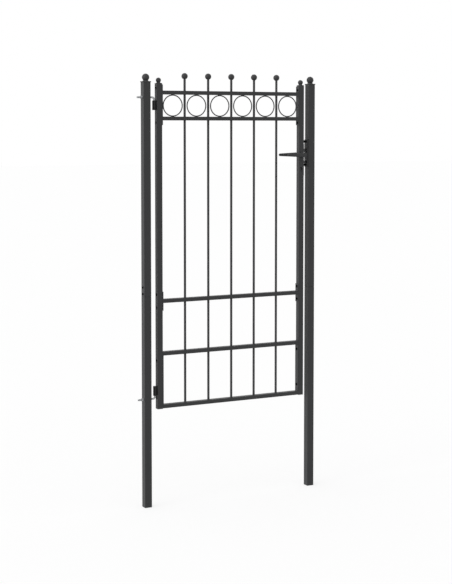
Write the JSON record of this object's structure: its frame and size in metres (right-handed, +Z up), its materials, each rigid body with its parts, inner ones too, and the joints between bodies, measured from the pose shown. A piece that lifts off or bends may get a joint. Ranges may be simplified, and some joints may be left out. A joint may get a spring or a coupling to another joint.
{
  "type": "garden gate",
  "caption": "Single-leaf steel garden gate on square posts, with round bars, a row of rings, ball finials, lift-off hinges and a lever lock.",
  "frame": {"origin": "centre of the hinge post's foot", "axes": "+X along the closed gate from the hinge post to the latch post, +Y away from the side in the picture, towards which the leaf opens, +Z up"},
  "size_m": [1.0619, 0.112, 2.2922],
  "materials": {
    "powder_coat": "matt anthracite powder coat",
    "black_hardware": "satin black",
    "black_oxide": "matt black oxide",
    "galvanised": "dull galvanised",
    "lock_steel": "plain zinc-plated"
  },
  "bodies": {
    "posts": {"hinge_post_lower": "powder_coat", "hinge_post_upper": "powder_coat", "hinge_post_sleeve": "galvanised", "hinge_post_cap": "powder_coat", "latch_post_lower": "powder_coat", "latch_post_upper": "powder_coat", "latch_post_sleeve": "galvanised", "latch_post_cap": "powder_coat", "post_screws": "black_oxide", "top_pintle": "galvanised", "bottom_pintle": "galvanised", "pintle_nuts": "galvanised", "pintle_washers": "galvanised", "thread_inserts": "galvanised", "strike_plate": "black_hardware", "strike_screws": "black_oxide"},
    "leaf": {"hinge_stile": "powder_coat", "latch_stile": "powder_coat", "hinge_stile_cap": "powder_coat", "latch_stile_cap": "powder_coat", "top_rail": "powder_coat", "ring_rail": "powder_coat", "middle_rail": "powder_coat", "lower_rail": "powder_coat", "bottom_rail": "powder_coat", "bar_1": "powder_coat", "bar_2": "powder_coat", "bar_3": "powder_coat", "bar_4": "powder_coat", "bar_5": "powder_coat", "bar_balls": "powder_coat", "ring_1": "powder_coat", "ring_2": "powder_coat", "ring_3": "powder_coat", "ring_4": "powder_coat", "ring_5": "powder_coat", "ring_6": "powder_coat", "hinge_upper_plate": "powder_coat", "hinge_middle_plate": "powder_coat", "hinge_lower_plate": "powder_coat", "latch_upper_plate": "powder_coat", "latch_middle_plate": "powder_coat", "latch_lower_plate": "powder_coat", "panel_bolts": "black_oxide", "panel_nuts": "black_oxide", "top_barrel": "black_hardware", "bottom_barrel": "black_hardware", "lock_case": "lock_steel", "lock_cover": "lock_steel", "lock_forend": "black_hardware", "forend_screws": "black_hardware", "lever_roses": "powder_coat"},
    "handle": {"front_lever": "powder_coat", "rear_lever": "powder_coat", "spindle": "lock_steel", "follower": "lock_steel", "grub_screws": "lock_steel"},
    "latch": {"latch_bolt": "lock_steel"},
    "deadbolt": {"deadbolt": "lock_steel"}
  },
  "joints": [
    {"name": "leaf_hinge", "type": "hinge", "parent": "posts", "child": "leaf", "pos_m": [0.0475, 0, 1.2], "axis": [0, 0, 1], "range_deg": [0, 100]},
    {"name": "handle_turn", "type": "hinge", "parent": "leaf", "child": "handle", "pos_m": [0.9265, 0, 1.855], "axis": [0, -1, 0], "range_deg": [0, 40], "stiffness_Nm_per_rad": 0.8, "springref_deg": -57.3},
    {"name": "latch_slide", "type": "slide", "parent": "leaf", "child": "latch", "axis": [-1, 0, 0], "range_m": [0, 0.01201]},
    {"name": "deadbolt_slide", "type": "slide", "parent": "leaf", "child": "deadbolt", "axis": [1, 0, 0], "range_m": [0, 0.014]}
  ],
  "couplings": [
    {"joint": "latch_slide", "follows": "handle_turn", "m_per_rad": 0.017188}
  ]
}
